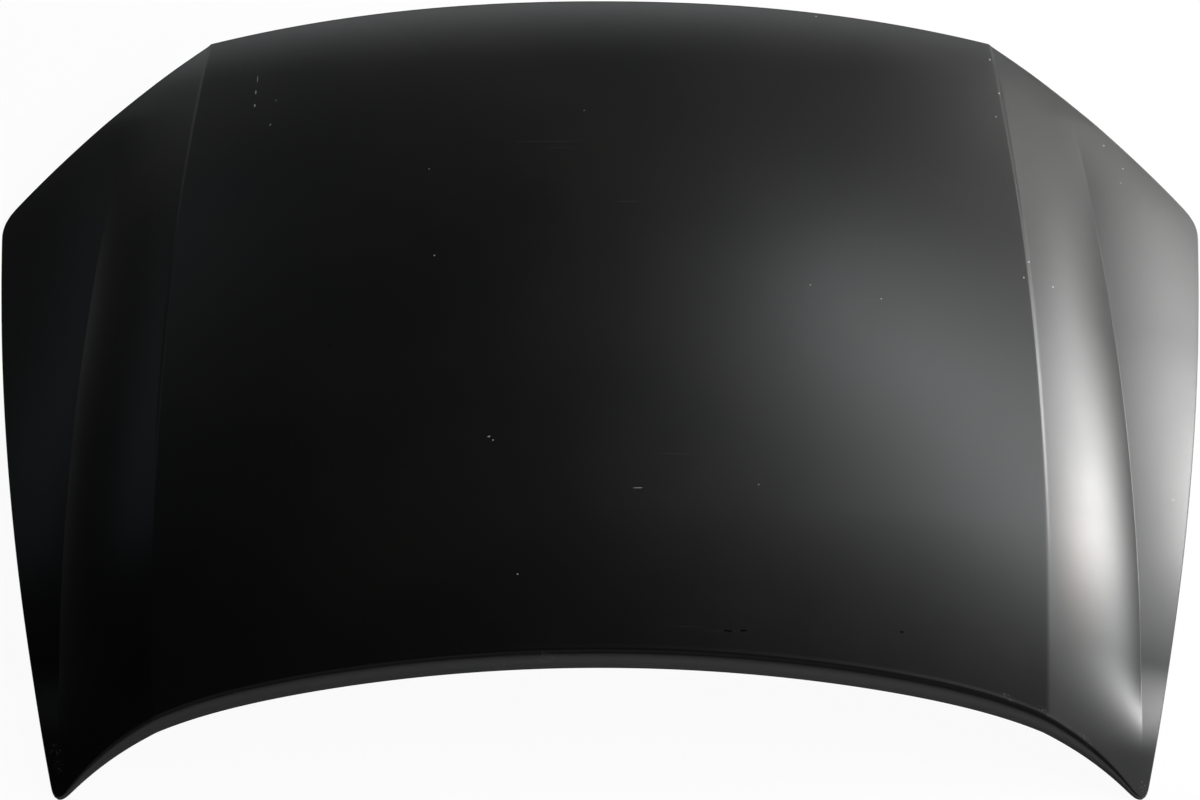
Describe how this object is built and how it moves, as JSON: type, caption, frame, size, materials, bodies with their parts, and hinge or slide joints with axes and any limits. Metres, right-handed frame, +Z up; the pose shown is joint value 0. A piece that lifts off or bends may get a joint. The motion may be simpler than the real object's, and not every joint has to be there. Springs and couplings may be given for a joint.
{
  "type": "car bonnet",
  "caption": "Wide pressed-steel car bonnet with side creases, swept-back rear corners, a bowed front edge with drooping tips and a ribbed inner frame.",
  "frame": {"origin": "on the surface it rests on, at the middle of its width and length", "axes": "+X across the car to the right as seen in the picture, +Y from the nose to the windscreen edge, +Z up"},
  "size_m": [1.5268, 1.1302, 0.1721],
  "materials": {
    "e_coat_outer": "satin near-black dip primer with faint handling scratches, dust specks and scuffs",
    "e_coat_inner": "flatter near-black dip primer on the inner pressings and plates",
    "e_coat_striker": "satin near-black dip primer on round wire",
    "mastic": "matt dark grey cured sealant"
  },
  "bodies": {
    "root": {"outer_skin": "e_coat_outer", "inner_frame": "e_coat_inner", "hinge_plate_left": "e_coat_inner", "hinge_nut_left_1": "e_coat_inner", "hinge_nut_left_2": "e_coat_inner", "hinge_plate_right": "e_coat_inner", "hinge_nut_right_1": "e_coat_inner", "hinge_nut_right_2": "e_coat_inner", "latch_plate": "e_coat_inner", "striker_plate": "e_coat_inner", "striker_loop": "e_coat_striker", "mastic_bead_01": "mastic", "mastic_bead_02": "mastic", "mastic_bead_03": "mastic", "mastic_bead_04": "mastic", "mastic_bead_05": "mastic", "mastic_bead_06": "mastic", "mastic_bead_07": "mastic", "mastic_bead_08": "mastic", "mastic_bead_09": "mastic", "mastic_bead_10": "mastic", "mastic_bead_11": "mastic", "mastic_bead_12": "mastic", "mastic_bead_13": "mastic", "mastic_bead_14": "mastic", "mastic_bead_15": "mastic", "mastic_bead_16": "mastic", "mastic_bead_17": "mastic"}
  },
  "joints": []
}
